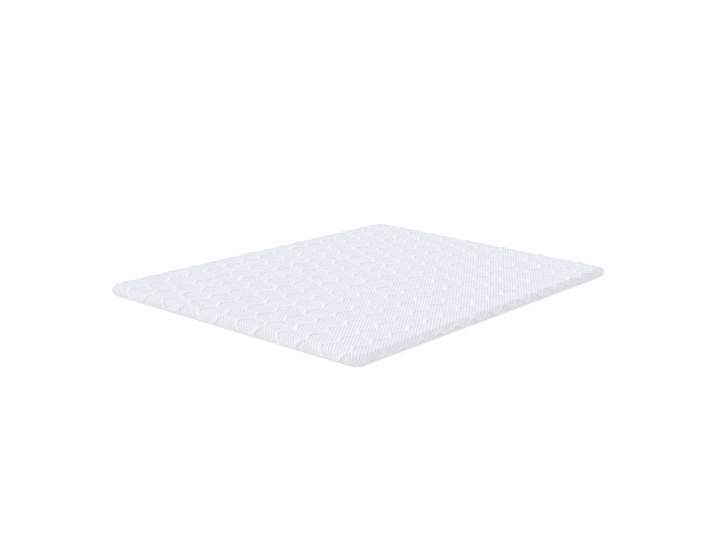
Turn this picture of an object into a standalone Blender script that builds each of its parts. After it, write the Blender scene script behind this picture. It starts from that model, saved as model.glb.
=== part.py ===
"""A mattress topper: one thin filled pad in a knitted cover, lying flat on its plain underside.

The cover is drawn smoothly round bull-nosed edges and rounded corners. Low welts stand on it in a
honeycomb that runs over the top and down the sides. The pattern is laid out flat, cut along the lines
where the cover bends, and then wrapped round the pad.

Metres. X runs across the width, Y along the length and Z up, from the middle of the underside.
"""

import math

import bmesh
import bpy

# The pad, measured over the welts.
LENGTH = 2.032
WIDTH = 1.524
THICKNESS = 0.052
CORNER_RADIUS = 0.060
EDGE_RADIUS = 0.0235

# The honeycomb: flat-topped cells in columns, every other column half a cell higher. The knit's columns
# lean a little, as X per Y.
COLUMN_PITCH = 0.1173
ROW_PITCH = 0.1263
PATTERN_LEAN = -0.031
PATTERN_MIDDLE = (0.0015, -0.0325)
WELT_WIDTH = 0.026
WELT_RISE = 0.0025

# Where the cover bends, as degrees of the upper and the lower edge rounding.
UPPER_BENDS = (0.0, 30.0, 60.0, 90.0)
LOWER_BENDS = (25.0, 50.0)
PLAIN_BENDS = (70.0, 90.0)
CORNER_STEPS = 5

# Points of the pattern this close to a cut count as on it, and edges this short are closed up.
SNAP = 0.0008

# The plain body under the welts.
BODY_HALF = (WIDTH / 2 - WELT_RISE, LENGTH / 2 - WELT_RISE)
BODY_HEIGHT = THICKNESS - WELT_RISE
BODY_CORNER = CORNER_RADIUS - WELT_RISE
CORNER_CENTRE = (BODY_HALF[0] - BODY_CORNER, BODY_HALF[1] - BODY_CORNER)
FLAT_REACH = BODY_CORNER - EDGE_RADIUS
QUARTER_TURN = EDGE_RADIUS * math.pi / 2
SIDE_STRAIGHT = BODY_HEIGHT - 2 * EDGE_RADIUS
STEP_ANGLE = math.pi / 2 / CORNER_STEPS

COVER_COLOUR = (0.80, 0.82, 0.87, 1.0)
COVER_ROUGHNESS = 0.9
SHARP_ABOVE = math.radians(20)


def upper_reach(degrees):
    """How far out a bend of the upper rounding lies in the flat pattern."""
    return FLAT_REACH + EDGE_RADIUS * math.radians(degrees)


def lower_reach(degrees):
    """How far out a bend of the lower rounding lies in the flat pattern."""
    return FLAT_REACH + QUARTER_TURN + SIDE_STRAIGHT + EDGE_RADIUS * math.radians(degrees)


def side_profile(arc):
    """The side at an arc length past the flat top: its reach and height, and its normal's two parts."""
    if arc <= 0:
        return arc, BODY_HEIGHT, 0.0, 1.0
    if arc <= QUARTER_TURN:
        turn = arc / EDGE_RADIUS
        height = BODY_HEIGHT - EDGE_RADIUS + EDGE_RADIUS * math.cos(turn)
        return EDGE_RADIUS * math.sin(turn), height, math.sin(turn), math.cos(turn)
    if arc <= QUARTER_TURN + SIDE_STRAIGHT:
        return EDGE_RADIUS, BODY_HEIGHT - EDGE_RADIUS - (arc - QUARTER_TURN), 1.0, 0.0
    turn = (arc - QUARTER_TURN - SIDE_STRAIGHT) / EDGE_RADIUS
    height = EDGE_RADIUS - EDGE_RADIUS * math.sin(turn)
    return EDGE_RADIUS * math.cos(turn), height, math.cos(turn), -math.sin(turn)


def corner_step(across, along):
    """Which of a corner's steps a point lies in, counted from the X side."""
    step = int(math.atan2(along, across) / STEP_ANGLE)
    return min(step, CORNER_STEPS - 1)


def step_middle(step):
    """The middle direction of a corner's step."""
    angle = (step + 0.5) * STEP_ANGLE
    return math.cos(angle), math.sin(angle)


def lay_of(x, y):
    """A flat point as a point of the inner rectangle, the way out from it, and the reach that way."""
    across = abs(x) - CORNER_CENTRE[0]
    along = abs(y) - CORNER_CENTRE[1]
    side_x = math.copysign(1.0, x)
    side_y = math.copysign(1.0, y)
    if across <= 0 and along <= 0:
        return (x, y), (0.0, 0.0), 0.0
    if along <= 0:
        return (side_x * CORNER_CENTRE[0], y), (side_x, 0.0), across
    if across <= 0:
        return (x, side_y * CORNER_CENTRE[1]), (0.0, side_y), along
    middle = step_middle(corner_step(across, along))
    reach = (across * middle[0] + along * middle[1]) / math.cos(STEP_ANGLE / 2)
    way = (side_x * across / reach, side_y * along / reach)
    return (side_x * CORNER_CENTRE[0], side_y * CORNER_CENTRE[1]), way, reach


def wrap(x, y, rise):
    """The place on the pad of a flat point, raised off the cover."""
    root, way, reach = lay_of(x, y)
    if reach <= FLAT_REACH:
        return x, y, BODY_HEIGHT + rise
    out, height, lean, up = side_profile(reach - FLAT_REACH)
    out += FLAT_REACH + rise * lean
    return root[0] + way[0] * out, root[1] + way[1] * out, height + rise * up


def pattern_point(column_third, half_row):
    """A corner of the honeycomb, in thirds of a column and half rows from the middle cell."""
    y = half_row * ROW_PITCH / 2
    x = column_third * COLUMN_PITCH / 3 + PATTERN_LEAN * y
    return x + PATTERN_MIDDLE[0], y + PATTERN_MIDDLE[1], 0.0


def flat_honeycomb():
    """The flat pattern: sunk cells with a sloped welt half round each, past the pad's reach."""
    mesh = bmesh.new()
    corners = {}
    columns = math.ceil((WIDTH / 2 + THICKNESS) / COLUMN_PITCH) + 1
    half_rows = math.ceil((LENGTH / 2 + THICKNESS) / (ROW_PITCH / 2)) + 2
    cell_outline = ((2, 0), (1, 1), (-1, 1), (-2, 0), (-1, -1), (1, -1))
    for column in range(-columns, columns + 1):
        for half_row in range(-half_rows, half_rows + 1):
            if (column + half_row) % 2:
                continue
            keys = [(3 * column + i, half_row + j) for i, j in cell_outline]
            for key in keys:
                if key not in corners:
                    corners[key] = mesh.verts.new(pattern_point(*key))
            mesh.faces.new([corners[key] for key in keys])
    mesh.normal_update()
    bmesh.ops.inset_individual(mesh, faces=mesh.faces[:], thickness=WELT_WIDTH / 2, use_even_offset=True)
    for corner in corners.values():
        corner.co.z = WELT_RISE
    return mesh


def cut(mesh, belongs, point, normal):
    """Cut the faces whose middles belong to a stretch of the pattern along an upright plane."""
    faces = [face for face in mesh.faces if belongs(*face.calc_center_median().xy)]
    edges = {edge for face in faces for edge in face.edges}
    verts = {vert for face in faces for vert in face.verts}
    bmesh.ops.bisect_plane(
        mesh,
        geom=faces + sorted(edges, key=lambda edge: edge.index) + sorted(verts, key=lambda vert: vert.index),
        dist=SNAP,
        plane_co=(point[0], point[1], 0.0),
        plane_no=(normal[0], normal[1], 0.0),
    )
    mesh.verts.index_update()
    mesh.edges.index_update()
    mesh.faces.ensure_lookup_table()


def cut_sides(mesh, reaches):
    """Cut the four sides along each bend."""
    for sign in (-1, 1):
        for reach in reaches:
            def in_x_side(x, y):
                return x * sign > CORNER_CENTRE[0] and abs(y) < CORNER_CENTRE[1]

            def in_y_side(x, y):
                return y * sign > CORNER_CENTRE[1] and abs(x) < CORNER_CENTRE[0]

            cut(mesh, in_x_side, (sign * (CORNER_CENTRE[0] + reach), 0.0), (sign, 0.0))
            cut(mesh, in_y_side, (0.0, sign * (CORNER_CENTRE[1] + reach)), (0.0, sign))


def cut_corner(mesh, side_x, side_y, reaches):
    """Cut one corner into its steps, and each step along each bend."""
    centre = (side_x * CORNER_CENTRE[0], side_y * CORNER_CENTRE[1])

    def in_corner(x, y):
        return x * side_x > CORNER_CENTRE[0] and y * side_y > CORNER_CENTRE[1]

    for step in range(1, CORNER_STEPS):
        angle = step * STEP_ANGLE
        cut(mesh, in_corner, centre, (-side_x * math.sin(angle), side_y * math.cos(angle)))
    for step in range(CORNER_STEPS):
        def in_step(x, y):
            across = x * side_x - CORNER_CENTRE[0]
            along = y * side_y - CORNER_CENTRE[1]
            return across > 0 and along > 0 and corner_step(across, along) == step

        middle = step_middle(step)
        way = (side_x * middle[0], side_y * middle[1])
        for reach in reaches:
            distance = reach * math.cos(STEP_ANGLE / 2)
            point = (centre[0] + way[0] * distance, centre[1] + way[1] * distance)
            cut(mesh, in_step, point, way)


def cut_pattern(mesh):
    """Cut the flat pattern along every bend, and drop what lies past the last one."""
    def anywhere(x, y):
        return True

    for sign in (-1, 1):
        cut(mesh, anywhere, (sign * CORNER_CENTRE[0], 0.0), (1.0, 0.0))
        cut(mesh, anywhere, (0.0, sign * CORNER_CENTRE[1]), (0.0, 1.0))
    reaches = [upper_reach(bend) for bend in UPPER_BENDS] + [lower_reach(bend) for bend in LOWER_BENDS]
    cut_sides(mesh, reaches)
    for side_x in (-1, 1):
        for side_y in (-1, 1):
            cut_corner(mesh, side_x, side_y, reaches)
    past = [face for face in mesh.faces if lay_of(*face.calc_center_median().xy)[2] > reaches[-1]]
    bmesh.ops.delete(mesh, geom=past, context="FACES")


def add_plain_skirt(mesh):
    """Carry the pattern's rim on, without welts, to where the side meets the underside."""
    for bend in PLAIN_BENDS:
        rim = [edge for edge in mesh.edges if edge.is_boundary]
        grown = bmesh.ops.extrude_edge_only(mesh, edges=rim)["geom"]
        for vert in grown:
            if isinstance(vert, bmesh.types.BMVert):
                root, way, _ = lay_of(vert.co.x, vert.co.y)
                reach = lower_reach(bend)
                vert.co = (root[0] + way[0] * reach, root[1] + way[1] * reach, 0.0)


def close_underside(mesh):
    """Fill the flat underside as a fan about its middle."""
    rim = [edge for edge in mesh.edges if edge.is_boundary]
    underside = bmesh.ops.contextual_create(mesh, geom=rim)["faces"]
    bmesh.ops.poke(mesh, faces=underside)


def make_material(name):
    """A matt white knit with a faint blue cast."""
    material = bpy.data.materials.new(name)
    material.use_nodes = True
    shader = material.node_tree.nodes["Principled BSDF"]
    shader.inputs["Base Color"].default_value = COVER_COLOUR
    shader.inputs["Roughness"].default_value = COVER_ROUGHNESS
    shader.inputs["Metallic"].default_value = 0.0
    return material


def make_topper():
    """The pad: the flat pattern cut, carried on to the underside, wrapped and closed."""
    mesh = flat_honeycomb()
    cut_pattern(mesh)
    add_plain_skirt(mesh)
    bmesh.ops.dissolve_degenerate(mesh, edges=mesh.edges[:], dist=SNAP)
    bmesh.ops.triangulate(mesh, faces=mesh.faces[:])
    for vert in mesh.verts:
        vert.co = wrap(*vert.co)
    close_underside(mesh)
    bmesh.ops.recalc_face_normals(mesh, faces=mesh.faces[:])
    data = bpy.data.meshes.new("topper")
    mesh.to_mesh(data)
    mesh.free()
    data.shade_smooth()
    data.set_sharp_from_angle(angle=SHARP_ABOVE)
    data.materials.append(make_material("knitted cover"))
    topper = bpy.data.objects.new("topper", data)
    bpy.context.scene.collection.objects.link(topper)
    return topper


def main():
    for old in list(bpy.data.objects):
        bpy.data.objects.remove(old, do_unlink=True)
    make_topper()


main()
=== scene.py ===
"""The look of a mattress topper: a thin filled pad in a white knitted cover, on a pale floor.

The cover is one continuous mesh. Its pattern is laid out flat: a honeycomb of low welts, with slanting
ribs over it. It is cut where the cover bends and wrapped round the pad, down its bull-nosed edges and
rounded corners to a plain underside. Its material adds the stitches, the valleys' darker tone, partly
their yarn and partly painted shade, and a painted shadow line in each cell. Metres throughout.
"""

import math

import bmesh
import bpy
import numpy as np
from mathutils import Euler, Matrix, Vector, noise


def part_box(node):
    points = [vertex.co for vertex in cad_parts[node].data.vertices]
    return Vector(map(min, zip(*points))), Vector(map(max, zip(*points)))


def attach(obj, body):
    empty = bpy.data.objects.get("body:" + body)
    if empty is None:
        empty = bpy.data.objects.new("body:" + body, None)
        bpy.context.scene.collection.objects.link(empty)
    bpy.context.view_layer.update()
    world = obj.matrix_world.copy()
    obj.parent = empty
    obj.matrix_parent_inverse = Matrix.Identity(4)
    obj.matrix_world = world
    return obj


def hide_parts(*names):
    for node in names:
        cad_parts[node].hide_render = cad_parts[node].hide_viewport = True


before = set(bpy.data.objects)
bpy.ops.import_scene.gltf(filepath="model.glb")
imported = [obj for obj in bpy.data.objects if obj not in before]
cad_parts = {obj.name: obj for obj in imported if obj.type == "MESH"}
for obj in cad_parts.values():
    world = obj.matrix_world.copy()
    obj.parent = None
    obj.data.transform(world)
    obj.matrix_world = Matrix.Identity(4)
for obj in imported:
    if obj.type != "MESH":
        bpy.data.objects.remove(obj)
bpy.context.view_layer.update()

# ---------------------------------------------------------------- sizes

# The pad, from the frame. Its box is measured over the welts.
PAD_LOW, PAD_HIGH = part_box("topper")
WIDTH = PAD_HIGH[0] - PAD_LOW[0]
LENGTH = PAD_HIGH[1] - PAD_LOW[1]
THICKNESS = PAD_HIGH[2] - PAD_LOW[2]
CORNER_RADIUS = 0.060
EDGE_RADIUS = 0.0235

# The honeycomb, as the solid has it. The knit's columns lean a little, as X per Y.
COLUMN_PITCH = 0.1173
ROW_PITCH = 0.1263
PATTERN_LEAN = -0.031
PATTERN_MIDDLE = (0.0015, -0.0325)
WELT_RISE = 0.0025

# The full rise of a welt off its cell's floor, under the ribs.
RIDGE_RISE = 0.0030

# Ribs run along two sides of each cell, this many from one such side to the other, and on through the
# other welts. A roundness under 1 gives them broad crests, and the mesh has this many strips to each.
RIBS_PER_CELL = 10
RIB_RISE = 0.0015
RIB_ROUNDNESS = 0.8
RIB_CUTS = 4

# A welt along the ribs is two of them grown into one smooth bar, which ends over this length.
BAR_FADE = 0.008

# No cell lies quite like the next: a slow unevenness, as wide as this, from one layer of a noise.
UNEVEN_RISE = 0.0003
UNEVEN_SPAN = 0.11
UNEVEN_LAYER = 3.0

# Where the cover bends, as degrees of the upper and the lower edge rounding, and in steps round a corner.
UPPER_BENDS = (0, 15, 30, 45, 60, 75, 90)
LOWER_BENDS = (0, 18, 36, 54)
PLAIN_BENDS = (66, 78, 90)
CORNER_STEPS = 9

# The degrees of the lower rounding where the relief has died out, and the length that it takes to.
WELTS_END = 50
WELTS_FADE = 0.014

# How near a cut a point is taken to lie on it: on the pad and in one cell. Cells share points this near.
SNAP = 0.0003
CELL_SNAP = 0.00001
SHARED_SNAP = 0.000002
SHARED_DECIMALS = 6

# The step over which the relief's slope is taken, and a length too small to divide by.
SLOPE_STEP = 0.0003
TINY = 1e-9

# The plain body under the welts.
BODY_HALF = (WIDTH / 2 - WELT_RISE, LENGTH / 2 - WELT_RISE)
BODY_HEIGHT = THICKNESS - WELT_RISE
BODY_CORNER = CORNER_RADIUS - WELT_RISE
CORNER_CENTRE = (BODY_HALF[0] - BODY_CORNER, BODY_HALF[1] - BODY_CORNER)
FLAT_REACH = BODY_CORNER - EDGE_RADIUS
QUARTER_TURN = EDGE_RADIUS * math.pi / 2
SIDE_STRAIGHT = BODY_HEIGHT - 2 * EDGE_RADIUS
STEP_ANGLE = math.pi / 2 / CORNER_STEPS


# ---------------------------------------------------------------- the honeycomb


def lattice_point(column_third, half_row):
    """A point of the honeycomb, in thirds of a column and half rows from the middle cell."""
    y = half_row * ROW_PITCH / 2
    x = column_third * COLUMN_PITCH / 3 + PATTERN_LEAN * y
    return Vector((x + PATTERN_MIDDLE[0], y + PATTERN_MIDDLE[1], 0.0))


def side_normal(start, end):
    """The outward normal of a cell's side, and the side's distance from the cell's middle."""
    along = (end - start).normalized()
    normal = Vector((along.y, -along.x, 0.0))
    return normal, normal.dot(start)


# A cell's corners from the right-hand one, counter-clockwise, and its sides from each to the next: upper
# right, top, upper left, lower left, bottom and lower right.
CELL_OUTLINE = ((2, 0), (1, 1), (-1, 1), (-2, 0), (-1, -1), (1, -1))
CELL_CORNERS = [lattice_point(*key) - lattice_point(0, 0) for key in CELL_OUTLINE]
CELL_SIDES = [side_normal(CELL_CORNERS[i], CELL_CORNERS[(i + 1) % 6]) for i in range(6)]

# The ribs run along the first side and the one across from it, where the bars lie.
RIB_NORMAL, RIB_SIDE_DISTANCE = CELL_SIDES[0]
RIB_PITCH = 2 * RIB_SIDE_DISTANCE / RIBS_PER_CELL
RIB_WAY = Vector((-RIB_NORMAL.y, RIB_NORMAL.x, 0.0))
BAR_SIDES = (0, 3)
BARS = ((CELL_CORNERS[0], CELL_CORNERS[1]), (CELL_CORNERS[4], CELL_CORNERS[3]))

# A bar is two ribs wide, and the other welts slope down slowly. The rings of the mesh lie where those are
# steepest and at their feet.
WELT_HALF = RIB_PITCH
SLOPE_REACH = 1.5 * RIB_PITCH
RINGS = (SLOPE_REACH / 2, SLOPE_REACH)

# How far in each side's welt reaches, and its share of the full rise. A bar rises little off its cell's
# floor and stands out because it has no valleys.
WELT_REACHES = (WELT_HALF, SLOPE_REACH, SLOPE_REACH, WELT_HALF, SLOPE_REACH, SLOPE_REACH)
WELT_SHARES = np.array((0.25, 1.0, 1.0, 0.25, 1.0, 1.0))


# ---------------------------------------------------------------- cutting


def everything(mesh):
    """All of a mesh, as its cuts take it."""
    return mesh.verts[:] + mesh.edges[:] + mesh.faces[:]


def with_borders(mesh, faces):
    """Faces with their edges and points, in a fixed order."""
    mesh.verts.index_update()
    mesh.edges.index_update()
    edges = {edge for face in faces for edge in face.edges}
    verts = {vert for face in faces for vert in face.verts}
    return faces + sorted(edges, key=lambda e: e.index) + sorted(verts, key=lambda v: v.index)


def cut(mesh, geom, point, way, snap=SNAP):
    """Cut a stretch of the mesh along an upright plane, and return what it became."""
    result = bmesh.ops.bisect_plane(
        mesh,
        geom=geom,
        dist=snap,
        plane_co=(point[0], point[1], 0.0),
        plane_no=(way[0], way[1], 0.0),
    )
    return result["geom"]


def cut_along(mesh, faces, planes):
    """Cut faces along one plane after another."""
    geom = with_borders(mesh, faces)
    for point, way in planes:
        geom = cut(mesh, geom, point, way)
    return [part for part in geom if isinstance(part, bmesh.types.BMFace)]


def middles(faces):
    """The flat middles of faces."""
    return np.array([face.calc_center_median().xy for face in faces])


def chosen(faces, wanted):
    """The faces that are wanted."""
    return [faces[number] for number in np.flatnonzero(wanted)]


def lift(mesh, faces):
    """Take faces out of a mesh into one of their own, which is quicker to cut."""
    part = bmesh.new()
    copies = {}
    for face in faces:
        for vert in face.verts:
            if vert not in copies:
                copies[vert] = part.verts.new(vert.co)
        part.faces.new([copies[vert] for vert in face.verts])
    bmesh.ops.delete(mesh, geom=faces, context="FACES")
    return part


def put_back(mesh, part):
    """Add a lifted part to the mesh again. Its border is merged later."""
    data = bpy.data.meshes.new("part")
    part.to_mesh(data)
    part.free()
    mesh.from_mesh(data)
    bpy.data.meshes.remove(data)


# ---------------------------------------------------------------- the flat pattern


def triangles_of(mesh):
    """The flat points of a mesh and its triangles. The mesh is freed."""
    mesh.verts.index_update()
    points = np.array([vert.co[:2] for vert in mesh.verts])
    triangles = np.array([[vert.index for vert in face.verts] for face in mesh.faces])
    mesh.free()
    return points, triangles


def mesh_of(points, triangles):
    """A mesh of flat points and triangles."""
    data = bpy.data.meshes.new("flat pattern")
    flat = np.column_stack([points, np.zeros(len(points))])
    data.from_pydata(flat.tolist(), [], triangles.tolist())
    mesh = bmesh.new()
    mesh.from_mesh(data)
    bpy.data.meshes.remove(data)
    return mesh


def in_order(mesh):
    """The same flat mesh in the order of its places. The cuts leave it in another order on each run."""
    points, triangles = triangles_of(mesh)
    order = np.lexsort(points.T)
    triangles = np.argsort(order)[triangles]
    turned = (triangles.argmin(axis=1)[:, None] + np.arange(3)) % 3
    triangles = np.take_along_axis(triangles, turned, axis=1)
    return mesh_of(points[order], triangles[np.lexsort(triangles.T[::-1])])


def cut_bar_ends(mesh):
    """Cut a cell across its two bars, where they start to fade."""
    foot = RIB_SIDE_DISTANCE - WELT_HALF
    for start, end in BARS:
        outward = RIB_NORMAL if start.dot(RIB_NORMAL) > 0 else -RIB_NORMAL
        for place in (start + RIB_WAY * BAR_FADE, end - RIB_WAY * BAR_FADE):
            near = [face for face in mesh.faces if face.calc_center_median().dot(outward) > foot]
            cut(mesh, with_borders(mesh, near), place, RIB_WAY, CELL_SNAP)


def cell_template():
    """One cell of the flat pattern, as points and triangles about its middle."""
    mesh = bmesh.new()
    face = mesh.faces.new([mesh.verts.new(corner) for corner in CELL_CORNERS])
    mesh.normal_update()
    outer = 0.0
    for inner in RINGS:
        bmesh.ops.inset_individual(mesh, faces=[face], thickness=inner - outer, use_even_offset=True)
        outer = inner
    geom = everything(mesh)
    cut_count = RIBS_PER_CELL * RIB_CUTS // 2
    for number in range(-cut_count, cut_count + 1):
        geom = cut(mesh, geom, RIB_NORMAL * (number * RIB_PITCH / RIB_CUTS), RIB_NORMAL, CELL_SNAP)
    cut_bar_ends(mesh)
    bmesh.ops.triangulate(mesh, faces=mesh.faces[:])
    return triangles_of(mesh)


def flat_pattern():
    """The whole flat pattern, with the cells' shared points merged."""
    points, triangles = cell_template()
    reach_x = WIDTH / 2 + THICKNESS
    reach_y = LENGTH / 2 + THICKNESS
    columns = math.ceil(reach_x / COLUMN_PITCH) + 1
    half_rows = math.ceil(reach_y / (ROW_PITCH / 2)) + 2
    all_points = []
    all_triangles = []
    for column in range(-columns, columns + 1):
        for half_row in range(-half_rows, half_rows + 1):
            middle = lattice_point(3 * column, half_row)
            inside = abs(middle.x) < reach_x + COLUMN_PITCH / 2 and abs(middle.y) < reach_y + ROW_PITCH / 2
            if (column + half_row) % 2 or not inside:
                continue
            all_triangles.append(triangles + len(all_points) * len(points))
            all_points.append(points + np.array(middle[:2]))
    points = np.concatenate(all_points)
    triangles = np.concatenate(all_triangles)
    rounded = np.round(points, SHARED_DECIMALS)
    _, first, back = np.unique(rounded, axis=0, return_index=True, return_inverse=True)
    mesh = mesh_of(points[first], back.ravel()[triangles])
    bmesh.ops.remove_doubles(mesh, verts=mesh.verts[:], dist=SHARED_SNAP)
    return mesh


# ---------------------------------------------------------------- bends


def upper_reach(degrees):
    """How far out a bend of the upper rounding lies in the flat pattern."""
    return FLAT_REACH + EDGE_RADIUS * math.radians(degrees)


def lower_reach(degrees):
    """How far out a bend of the lower rounding lies in the flat pattern."""
    return FLAT_REACH + QUARTER_TURN + SIDE_STRAIGHT + EDGE_RADIUS * math.radians(degrees)


def side_profile(arc):
    """The side at arc lengths past the flat top: its reach and height, and its normal's two parts."""
    down = arc - QUARTER_TURN
    upper = np.clip(arc / EDGE_RADIUS, 0.0, math.pi / 2)
    straight = np.clip(down, 0.0, SIDE_STRAIGHT)
    lower = np.maximum((down - SIDE_STRAIGHT) / EDGE_RADIUS, 0.0)
    turn = upper + lower
    out = np.minimum(arc, 0.0) + EDGE_RADIUS * np.sin(turn)
    height = BODY_HEIGHT - straight - EDGE_RADIUS * (1 - np.cos(upper)) - EDGE_RADIUS * np.sin(lower)
    return out, height, np.sin(turn), np.cos(turn)


def corner_step(across, along):
    """Which of a corner's steps points lie in, counted from the X side."""
    step = (np.arctan2(along, across) / STEP_ANGLE).astype(int)
    return np.clip(step, 0, CORNER_STEPS - 1)


def lay_of(flat):
    """Flat points as points of the inner rectangle, the way out from each, and the reach that way."""
    centre = np.array(CORNER_CENTRE)
    root = np.clip(flat, -centre, centre)
    offset = flat - root
    across, along = abs(offset).T
    in_corner = (offset != 0.0).all(axis=1)
    middle = (corner_step(across, along) + 0.5) * STEP_ANGLE
    turned = (across * np.cos(middle) + along * np.sin(middle)) / math.cos(STEP_ANGLE / 2)
    reach = np.where(in_corner, turned, across + along)
    way = offset / np.maximum(reach, TINY)[:, None]
    return root, way, reach


def wrap(flat, rise):
    """The places on the pad of flat points, raised off the cover."""
    root, way, reach = lay_of(flat)
    out, height, lean, up = side_profile(reach - FLAT_REACH)
    out = out + FLAT_REACH + rise * lean
    place = root + way * out[:, None]
    return np.column_stack([place, height + rise * up])


def cut_side(part, axis, sign, reaches):
    """Cut a side along each bend."""
    way = np.zeros(2)
    way[axis] = sign
    cut_along(part, part.faces[:], [(way * (CORNER_CENTRE[axis] + reach), way) for reach in reaches])


def cut_corner(part, side, reaches):
    """Cut a corner into its steps, and each step along each bend."""
    centre = side * CORNER_CENTRE
    angles = [step * STEP_ANGLE for step in range(1, CORNER_STEPS)]
    radial = [(centre, side * (-math.sin(angle), math.cos(angle))) for angle in angles]
    corner = cut_along(part, part.faces[:], radial)
    offset = middles(corner) * side - CORNER_CENTRE
    steps = corner_step(offset[:, 0], offset[:, 1])
    nearer = math.cos(STEP_ANGLE / 2)
    for step in range(CORNER_STEPS):
        middle = (step + 0.5) * STEP_ANGLE
        way = side * (math.cos(middle), math.sin(middle))
        bends = [(centre + way * reach * nearer, way) for reach in reaches]
        cut_along(part, chosen(corner, steps == step), bends)


def cut_pattern(mesh):
    """Cut the flat pattern along every bend, and drop what lies past the last one."""
    for axis in (0, 1):
        for sign in (-1, 1):
            way = np.zeros(2)
            way[axis] = sign
            cut(mesh, everything(mesh), way * CORNER_CENTRE[axis], way)
    reaches = [upper_reach(bend) for bend in UPPER_BENDS] + [lower_reach(bend) for bend in LOWER_BENDS]
    parts = []
    for across in (-1, 0, 1):
        for along in (-1, 0, 1):
            if across == along == 0:
                continue
            faces = mesh.faces[:]
            place = middles(faces)
            region = np.sign(place) * (abs(place) > np.array(CORNER_CENTRE))
            part = lift(mesh, chosen(faces, (region == (across, along)).all(axis=1)))
            if across and along:
                cut_corner(part, np.array((across, along)), reaches)
            else:
                cut_side(part, 0 if across else 1, across or along, reaches)
            faces = part.faces[:]
            past = lay_of(middles(faces))[2] > reaches[-1]
            bmesh.ops.delete(part, geom=chosen(faces, past), context="FACES")
            parts.append(part)
    for part in parts:
        put_back(mesh, part)
    bmesh.ops.remove_doubles(mesh, verts=mesh.verts[:], dist=SNAP / 10)


def add_plain_skirt(mesh):
    """Carry the pattern's rim on, plain, to where the side meets the underside."""
    for bend in PLAIN_BENDS:
        rim = [edge for edge in mesh.edges if edge.is_boundary]
        grown = bmesh.ops.extrude_edge_only(mesh, edges=rim)["geom"]
        verts = [part for part in grown if isinstance(part, bmesh.types.BMVert)]
        root, way, _ = lay_of(np.array([vert.co.xy for vert in verts]))
        for vert, place in zip(verts, root + way * lower_reach(bend)):
            vert.co.xy = place
    bmesh.ops.dissolve_degenerate(mesh, edges=mesh.edges[:], dist=SNAP)
    bmesh.ops.triangulate(mesh, faces=mesh.faces[:])


# ---------------------------------------------------------------- the relief

# What the material reads at each point: how far it lies on a welt, down the side, among ribs, and where
# the cover is plain.
MARKS = ("welt", "side", "ribbed", "plain")


def smooth(share):
    """0 to 1, with level ends."""
    share = np.clip(share, 0.0, 1.0)
    return share * share * (3 - 2 * share)


def cell_places(flat):
    """Flat points from the middles of their own cells, and their distances in from the cell's sides."""
    y_in = flat[:, 1] - PATTERN_MIDDLE[1]
    x_in = flat[:, 0] - PATTERN_MIDDLE[0] - PATTERN_LEAN * y_in
    column = np.round(x_in / COLUMN_PITCH)
    normals = np.array([normal[:2] for normal, _ in CELL_SIDES])
    distances = np.array([distance for _, distance in CELL_SIDES])
    own_place = np.zeros_like(flat)
    own_depths = np.full((len(flat), len(CELL_SIDES)), -1.0)
    for near in (column - 1, column, column + 1):
        odd = near % 2
        half_row = 2 * np.round((y_in / (ROW_PITCH / 2) - odd) / 2) + odd
        y_middle = half_row * ROW_PITCH / 2
        x_middle = near * COLUMN_PITCH + PATTERN_LEAN * y_middle
        middle = np.column_stack([x_middle + PATTERN_MIDDLE[0], y_middle + PATTERN_MIDDLE[1]])
        place = flat - middle
        depths = distances - place @ normals.T
        nearer = depths.min(axis=1) > own_depths.min(axis=1)
        own_place[nearer] = place[nearer]
        own_depths[nearer] = depths[nearer]
    return own_place, own_depths


def ridge_share(depths):
    """How far points lie up on the welts. Welts that meet grow together."""
    return 1.0 - (1.0 - WELT_SHARES * (1.0 - smooth(depths / WELT_REACHES))).prod(axis=1)


def bar_share(place, depths):
    """How far points lie on a bar, where no rib shows."""
    share = np.zeros(len(place))
    for side, (start, end) in zip(BAR_SIDES, BARS):
        from_middle = abs(place @ np.array(RIB_WAY[:2]) - RIB_WAY.dot(start + end) / 2)
        ends = smooth(((end - start).length / 2 - from_middle) / BAR_FADE)
        share = np.maximum(share, smooth(1.0 - depths[:, side] / WELT_HALF) * ends)
    return share


def rib_share(place, bar):
    """How far up points lie from the valleys between ribs. A bar has none."""
    wave = 0.5 - 0.5 * np.cos(2 * math.pi * (place @ np.array(RIB_NORMAL[:2])) / RIB_PITCH)
    rib = wave**RIB_ROUNDNESS
    return rib + (1.0 - rib) * bar


def relief(flat):
    """The heights off the plain body at flat points, and their shares of each of the marks."""
    place, depths = cell_places(flat)
    reach = lay_of(flat)[2]
    fade = 1.0 - smooth((reach - lower_reach(WELTS_END)) / WELTS_FADE + 1.0)
    ridge = ridge_share(depths)
    bar = bar_share(place, depths)
    rib = rib_share(place, bar)
    uneven = np.array([noise.noise((x / UNEVEN_SPAN, y / UNEVEN_SPAN, UNEVEN_LAYER)) for x, y in flat])
    height = WELT_RISE - RIDGE_RISE * (1.0 - ridge) - RIB_RISE * (1.0 - rib) + UNEVEN_RISE * uneven
    side = side_profile(reach - FLAT_REACH)[2] * fade
    return height * fade, ridge * fade, side, (1.0 - bar) * fade, 1.0 - fade


def facing(flat):
    """The way the cover faces at flat points: the plain body's way, turned by the slopes of the relief."""
    slope = []
    for step in np.eye(2) * SLOPE_STEP:
        slope.append((relief(flat + step)[0] - relief(flat - step)[0]) / (2 * SLOPE_STEP))
    slope = np.column_stack(slope)
    _, way, reach = lay_of(flat)
    length = np.linalg.norm(way, axis=1)[:, None]
    outward = np.where(length > 0.0, way / np.maximum(length, TINY), (1.0, 0.0))
    aside = np.column_stack([-outward[:, 1], outward[:, 0]])
    _, _, lean, up = side_profile(reach - FLAT_REACH)
    body = np.column_stack([outward * lean[:, None], up])
    down = np.column_stack([outward * up[:, None], -lean])
    level = np.column_stack([aside, np.zeros(len(flat))])
    down_slope = (slope * outward).sum(axis=1)[:, None]
    level_slope = (slope * aside).sum(axis=1)[:, None]
    normal = body - down * down_slope - level * level_slope
    return normal / np.linalg.norm(normal, axis=1)[:, None]


# ---------------------------------------------------------------- the cover


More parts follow.
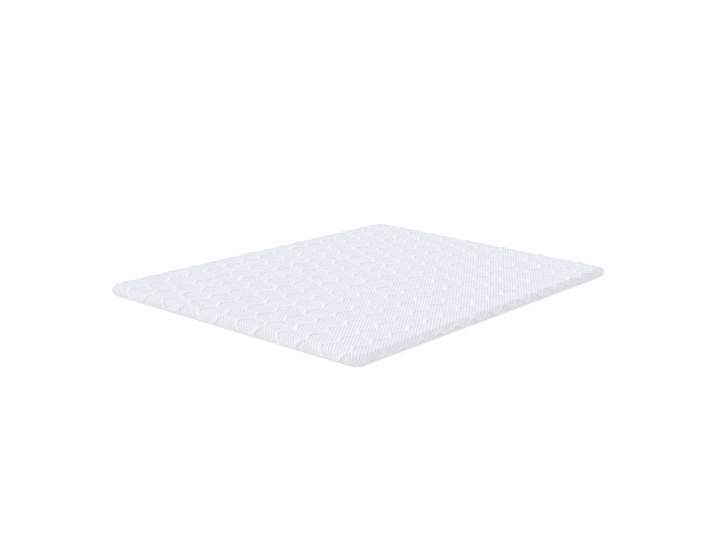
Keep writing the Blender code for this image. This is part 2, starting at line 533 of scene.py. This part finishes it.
def map_places(mesh):
    """Keep the flat places and the places in their own cells as UV maps."""
    flat_layer = mesh.loops.layers.uv.new("flat")
    cell_layer = mesh.loops.layers.uv.new("cell")
    face_middles = middles(mesh.faces)
    cell_middles = face_middles - cell_places(face_middles)[0]
    for face, cell_middle in zip(mesh.faces, cell_middles):
        for loop in face.loops:
            loop[flat_layer].uv = loop.vert.co.xy
            loop[cell_layer].uv = loop.vert.co.xy - Vector(cell_middle)


def raise_relief(mesh):
    """Wrap the flat mesh round the pad, with its relief raised and marked. Its flat places are returned."""
    marks = [mesh.verts.layers.float.new(name) for name in MARKS]
    verts = mesh.verts[:]
    flat = np.array([vert.co.xy for vert in verts])
    rise, *shares = relief(flat)
    for vert, place, *values in zip(verts, wrap(flat, rise), *shares):
        vert.co = place
        for mark, value in zip(marks, values):
            vert[mark] = value
    return flat


def close_underside(mesh):
    """Fill the flat underside as a plain fan about its middle."""
    rim = [edge for edge in mesh.edges if edge.is_boundary]
    underside = bmesh.ops.contextual_create(mesh, geom=rim)["faces"]
    fan = bmesh.ops.poke(mesh, faces=underside)["faces"]
    flat_layer = mesh.loops.layers.uv["flat"]
    plain_mark = mesh.verts.layers.float["plain"]
    for face in fan:
        for loop in face.loops:
            loop.vert[plain_mark] = 1.0
            loop[flat_layer].uv = loop.vert.co.xy


def make_cover():
    """The whole cover as one closed mesh."""
    mesh = flat_pattern()
    cut_pattern(mesh)
    add_plain_skirt(mesh)
    mesh = in_order(mesh)
    map_places(mesh)
    flat = raise_relief(mesh)
    close_underside(mesh)
    if mesh.calc_volume(signed=True) < 0:
        bmesh.ops.reverse_faces(mesh, faces=mesh.faces[:])
    data = bpy.data.meshes.new("knitted_cover")
    mesh.to_mesh(data)
    mesh.free()
    data.shade_smooth()
    # The last point is the middle of the underside.
    normals = np.vstack([facing(flat), (0.0, 0.0, -1.0)])
    data.normals_split_custom_set_from_vertices(normals.tolist())
    cover = bpy.data.objects.new("knitted_cover", data)
    bpy.context.scene.collection.objects.link(cover)
    return cover


# ---------------------------------------------------------------- the knit

# V stitches, as wide and as high as this, in low courses and with some fuzz. They lie flatter on a welt.
STITCH_WIDTH = 0.0024
STITCH_HEIGHT = 0.0019
STITCH_RISE = 0.00025
STITCH_STRENGTH = 0.6
COURSE_SHARE = 0.5
FUZZ_SCALE = 900.0
FUZZ_DETAIL = 3.0
FUZZ_SHARE = 1.2
WELT_CALM = 0.5

# The tone goes from the crests' to the valleys' by a sum of these, which grows down the sides. The valleys
# are darker partly by their yarn and partly by painted shade, the cells' floors below the welts get painted
# shade, and the growth down the sides is painted shade too. A noise adds the faint uneven cast.
CREST_TONE = (0.906, 0.907, 0.915, 1.0)
VALLEY_TONE = (0.739, 0.755, 0.784, 1.0)
VALLEY_SHARPNESS = 1.2
VALLEY_YARN_AND_SHADE = 0.72
CELL_PAINTED_SHADE = 0.05
BAR_DUSK = 0.15
PLAIN_DUSK = 0.10
SIDE_PAINTED_SHADE = 0.4
PATCH_SCALE = 14.0
PATCH_DETAIL = 4.0
PATCH_DUSK = 0.5

# A painted shadow along the feet of a cell's two left-hand welts, a dark line where they shade the cell from
# the key on the left: its depth inside the upper one, its half width, how much nearer the lower welt it lies
# and how fully its corner is rounded. It fades along the lower welt, by the depth inside the upper one, and
# the painted shadow is darker on the sides.
SHADOW_LINE_TONE = (0.600, 0.620, 0.660, 1.0)
SHADOW_LINE_SHARE = 0.40
SHADOW_LINE_SIDE_GAIN = 0.6
SHADOW_LINE_DEPTH = 0.0098
SHADOW_LINE_HALF = 0.005
SHADOW_LINE_SHIFT = 0.0033
SHADOW_LINE_ROUNDING = 0.030
SHADOW_LINE_FADE = (0.015, 0.045)
SHADOW_LINE_LOW_SHARE = 0.25

# Matt, with the faint bloom of cloth.
KNIT_ROUGHNESS = 0.85
KNIT_SPECULAR = 0.3
KNIT_SHEEN = 0.12
KNIT_SHEEN_ROUGHNESS = 0.5


class Nodes:
    """A small helper to lay out a material's nodes."""

    def __init__(self, material):
        material.use_nodes = True
        self.tree = material.node_tree
        self.shader = self.tree.nodes["Principled BSDF"]

    def add(self, kind, **settings):
        """A new node with these settings."""
        node = self.tree.nodes.new(kind)
        for name, value in settings.items():
            setattr(node, name, value)
        return node

    def feed(self, node, **values):
        """Give a node's sockets constants or links. An underscore in a name stands for a space."""
        for name, value in values.items():
            self.connect(node.inputs[name.replace("_", " ")], value)

    def connect(self, socket, value):
        """Give one socket a constant or a link."""
        if isinstance(value, bpy.types.NodeSocket):
            self.tree.links.new(value, socket)
        else:
            socket.default_value = value

    def math(self, operation, *values):
        """Arithmetic on constants and links."""
        node = self.add("ShaderNodeMath", operation=operation)
        for socket, value in zip(node.inputs, values):
            self.connect(socket, value)
        return node.outputs[0]

    def dot(self, place, way):
        """How far a place, given as its X and Y, lies along a way."""
        over_x = self.math("MULTIPLY", place[0], way.x)
        over_y = self.math("MULTIPLY", place[1], way.y)
        return self.math("ADD", over_x, over_y)

    def ramp(self, source, start, end, first, last):
        """A smooth change from one value to another while the source goes from start to end."""
        node = self.add("ShaderNodeMapRange", interpolation_type="SMOOTHSTEP")
        self.feed(node, Value=source, From_Min=start, From_Max=end, To_Min=first, To_Max=last)
        return node.outputs["Result"]

    def blend(self, share, first, second):
        """A mix of two colours. The node keeps its share between 0 and 1."""
        node = self.add("ShaderNodeMix", data_type="RGBA")
        self.feed(node, Factor=share, A=first, B=second)
        return node.outputs["Result"]

    def noise(self, vector, scale, detail):
        """Noise between 0 and 1."""
        node = self.add("ShaderNodeTexNoise")
        self.feed(node, Vector=vector, Scale=scale, Detail=detail)
        return node.outputs[0]

    def places(self, uv_map):
        """A UV map as a vector, and its two parts."""
        vector = self.add("ShaderNodeUVMap", uv_map=uv_map).outputs[0]
        split = self.add("ShaderNodeSeparateXYZ")
        self.connect(split.inputs[0], vector)
        return vector, split.outputs[:2]

    def mark(self, name):
        """One of the marks on the cover's points."""
        return self.add("ShaderNodeAttribute", attribute_name=name).outputs["Fac"]


def stitch_height(nodes, flat, place):
    """The height of the V stitches and their fuzz."""
    across = nodes.math("FRACT", nodes.math("DIVIDE", place[0], STITCH_WIDTH))
    leg = nodes.math("ABSOLUTE", nodes.math("SUBTRACT", across, 0.5))
    course = nodes.math("ADD", nodes.math("DIVIDE", place[1], STITCH_HEIGHT), leg)
    wave = nodes.math("SINE", nodes.math("MULTIPLY", course, 2 * math.pi))
    gap = nodes.math("SINE", nodes.math("MULTIPLY", leg, 2 * math.pi))
    stitch = nodes.math("ADD", nodes.math("MULTIPLY", wave, COURSE_SHARE), gap)
    fuzz = nodes.noise(flat, FUZZ_SCALE, FUZZ_DETAIL)
    return nodes.math("ADD", stitch, nodes.math("MULTIPLY", fuzz, FUZZ_SHARE))


def valley_share(nodes, place):
    """How far down points lie between two ribs, from the same wave as the ribs of the mesh."""
    middle = Vector((*PATTERN_MIDDLE, 0.0)).dot(RIB_NORMAL)
    over = nodes.math("SUBTRACT", nodes.dot(place, RIB_NORMAL), middle)
    swing = nodes.math("COSINE", nodes.math("MULTIPLY", over, 2 * math.pi / RIB_PITCH))
    deep = nodes.math("MULTIPLY", nodes.math("ADD", swing, 1.0), 0.5)
    return nodes.math("POWER", deep, VALLEY_SHARPNESS)


def tone_and_painted_shade(nodes, flat, place, marks):
    """How far the tone goes from the crests' to the valleys': yarn and painted shade in the valleys, painted
    shade on the cells' floors, more painted shade down the sides.
    """
    welt, side, ribbed, plain = marks
    valley = nodes.math("MULTIPLY", valley_share(nodes, place), ribbed)
    hollow = nodes.math("SUBTRACT", 1.0, welt)
    ribless = nodes.math("SUBTRACT", 1.0, ribbed)
    darkening = nodes.math("MULTIPLY", valley, VALLEY_YARN_AND_SHADE)
    for share, depth in ((hollow, CELL_PAINTED_SHADE), (ribless, BAR_DUSK), (plain, PLAIN_DUSK)):
        darkening = nodes.math("ADD", darkening, nodes.math("MULTIPLY", share, depth))
    gain = nodes.math("ADD", 1.0, nodes.math("MULTIPLY", side, SIDE_PAINTED_SHADE))
    patch = nodes.noise(flat, PATCH_SCALE, PATCH_DETAIL)
    patchy = nodes.math("MULTIPLY", nodes.math("SUBTRACT", patch, 0.5), PATCH_DUSK)
    return nodes.math("ADD", nodes.math("MULTIPLY", darkening, gain), patchy)


def painted_shadow_line(nodes):
    """How far points lie in their cell's painted shadow line."""
    place = nodes.places("cell")[1]
    depths = [nodes.math("SUBTRACT", distance, nodes.dot(place, normal)) for normal, distance in CELL_SIDES]
    _, top, upper, lower, bottom, _ = depths
    rounded = nodes.math("SMOOTH_MIN", upper, nodes.math("ADD", lower, SHADOW_LINE_SHIFT), SHADOW_LINE_ROUNDING)
    off = nodes.math("ABSOLUTE", nodes.math("SUBTRACT", rounded, SHADOW_LINE_DEPTH))
    line = nodes.ramp(off, 0.0, SHADOW_LINE_HALF, 1.0, 0.0)
    for end in (top, bottom):
        line = nodes.math("MULTIPLY", line, nodes.ramp(end, 0.0, SHADOW_LINE_DEPTH, 0.0, 1.0))
    return nodes.math("MULTIPLY", line, nodes.ramp(upper, *SHADOW_LINE_FADE, 1.0, SHADOW_LINE_LOW_SHARE))


def painted_shadow_share(nodes, side, plain):
    """How far the tone goes to the painted shadow's. Below 0 counts as none, as where the cover is plain."""
    line_shadow = nodes.math("MULTIPLY", painted_shadow_line(nodes), nodes.math("SUBTRACT", SHADOW_LINE_SHARE, plain))
    gain = nodes.math("ADD", 1.0, nodes.math("MULTIPLY", side, SHADOW_LINE_SIDE_GAIN))
    return nodes.math("MULTIPLY", line_shadow, gain)


def knit_material():
    """White knit with small stitches, darker in its valleys by yarn and painted shade, with a painted shadow
    line in each cell and a faint uneven blue cast.
    """
    material = bpy.data.materials.new("white knit")
    nodes = Nodes(material)
    flat, place = nodes.places("flat")
    marks = [nodes.mark(name) for name in MARKS]
    welt, side, _, plain = marks
    calm = nodes.math("SUBTRACT", 1.0, nodes.math("MULTIPLY", welt, WELT_CALM))
    height = nodes.math("MULTIPLY", stitch_height(nodes, flat, place), calm)
    bump = nodes.add("ShaderNodeBump")
    nodes.feed(bump, Height=height, Distance=STITCH_RISE, Strength=STITCH_STRENGTH)
    tone = nodes.blend(tone_and_painted_shade(nodes, flat, place, marks), CREST_TONE, VALLEY_TONE)
    nodes.feed(
        nodes.shader,
        Normal=bump.outputs[0],
        # The painted shadow line goes over the knit's tone and its painted shade.
        Base_Color=nodes.blend(painted_shadow_share(nodes, side, plain), tone, SHADOW_LINE_TONE),
        Roughness=KNIT_ROUGHNESS,
        Specular_IOR_Level=KNIT_SPECULAR,
        Sheen_Weight=KNIT_SHEEN,
        Sheen_Roughness=KNIT_SHEEN_ROUGHNESS,
    )
    return material


# ---------------------------------------------------------------- stage, light and camera

# A pale floor, and another just under it, both far wider than the picture.
FLOOR_REACH = 600.0
SEEN_FLOOR_COLOUR = (0.30, 0.30, 0.30, 1.0)
SEEN_FLOOR_GLOW = 0.76
BOUNCE_FLOOR_COLOUR = (0.895, 0.870, 0.830, 1.0)
BOUNCE_FLOOR_GLOW = 0.15
BOUNCE_FLOOR_LIFT = -0.0005
FLOOR_CORNERS = ((-1, -1), (1, -1), (1, 1), (-1, 1))
GLOW_COLOUR = (1.0, 1.0, 1.0, 1.0)

# An even sky, and a soft low key from the left.
SKY_COLOUR = (0.970, 0.990, 1.045, 1.0)
SKY_STRENGTH = 0.92
KEY_STRENGTH = 0.76
KEY_AZIMUTH = math.radians(195)
KEY_ELEVATION = math.radians(23)
KEY_SOFTNESS = math.radians(10)

# The camera: where it stands, which way it looks in plan, how far it looks down and how far it is tilted.
CAMERA_PLACE = (3.379, -4.225, 1.464)
CAMERA_TURN = math.radians(39.32)
CAMERA_DOWN = math.radians(14.416)
CAMERA_ROLL = math.radians(1.564)
# The lens and its frame are in millimetres, and it sees past the floor's corners.
CAMERA_LENS = 57.25
CAMERA_FRAME = 36.0
CAMERA_SIGHT = 3000.0


def make_floor(name, lift_by, colour, glow):
    """A level square of floor. Glow is light of its own."""
    material = bpy.data.materials.new(name)
    nodes = Nodes(material)
    nodes.feed(
        nodes.shader,
        Base_Color=colour,
        Roughness=1.0,
        Specular_IOR_Level=0.0,
        Emission_Color=GLOW_COLOUR,
        Emission_Strength=glow,
    )
    data = bpy.data.meshes.new(name)
    corners = [(x * FLOOR_REACH, y * FLOOR_REACH, 0.0) for x, y in FLOOR_CORNERS]
    data.from_pydata(corners, [], [(0, 1, 2, 3)])
    data.materials.append(material)
    floor = bpy.data.objects.new(name, data)
    bpy.context.scene.collection.objects.link(floor)
    floor.location.z = PAD_LOW[2] + lift_by
    return floor


def make_floors():
    """A floor that reaches white in the picture, and under it the duller one that lights the pad."""
    seen = make_floor("floor", 0.0, SEEN_FLOOR_COLOUR, SEEN_FLOOR_GLOW)
    seen.visible_diffuse = False
    seen.visible_glossy = False
    seen.visible_shadow = False
    bounce = make_floor("bounce", BOUNCE_FLOOR_LIFT, BOUNCE_FLOOR_COLOUR, BOUNCE_FLOOR_GLOW)
    bounce.visible_camera = False


def make_light():
    """The sky and the key."""
    world = bpy.data.worlds.new("studio")
    bpy.context.scene.world = world
    world.use_nodes = True
    sky = world.node_tree.nodes["Background"]
    sky.inputs["Color"].default_value = SKY_COLOUR
    sky.inputs["Strength"].default_value = SKY_STRENGTH
    data = bpy.data.lights.new("key", "SUN")
    data.energy = KEY_STRENGTH
    data.angle = KEY_SOFTNESS
    key = bpy.data.objects.new("key", data)
    from_way = Vector((
        math.cos(KEY_AZIMUTH) * math.cos(KEY_ELEVATION),
        math.sin(KEY_AZIMUTH) * math.cos(KEY_ELEVATION),
        math.sin(KEY_ELEVATION),
    ))
    key.rotation_euler = from_way.to_track_quat("Z", "Y").to_euler()
    bpy.context.scene.collection.objects.link(key)


def make_camera():
    """The camera, at the photograph's viewing angle."""
    data = bpy.data.cameras.new("camera")
    data.lens = CAMERA_LENS
    data.sensor_width = CAMERA_FRAME
    data.clip_end = CAMERA_SIGHT
    camera = bpy.data.objects.new("camera", data)
    upright = Euler((math.pi / 2 - CAMERA_DOWN, 0.0, CAMERA_TURN)).to_matrix()
    aimed = upright @ Matrix.Rotation(CAMERA_ROLL, 3, "Z")
    camera.matrix_world = Matrix.Translation(CAMERA_PLACE) @ aimed.to_4x4()
    bpy.context.scene.collection.objects.link(camera)
    bpy.context.scene.camera = camera


# ---------------------------------------------------------------- the scene

make_camera()
make_light()
make_floors()
bpy.context.scene.view_settings.view_transform = "Standard"

cover = make_cover()
cover.data.materials.append(knit_material())
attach(cover, "root")
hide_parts("topper")
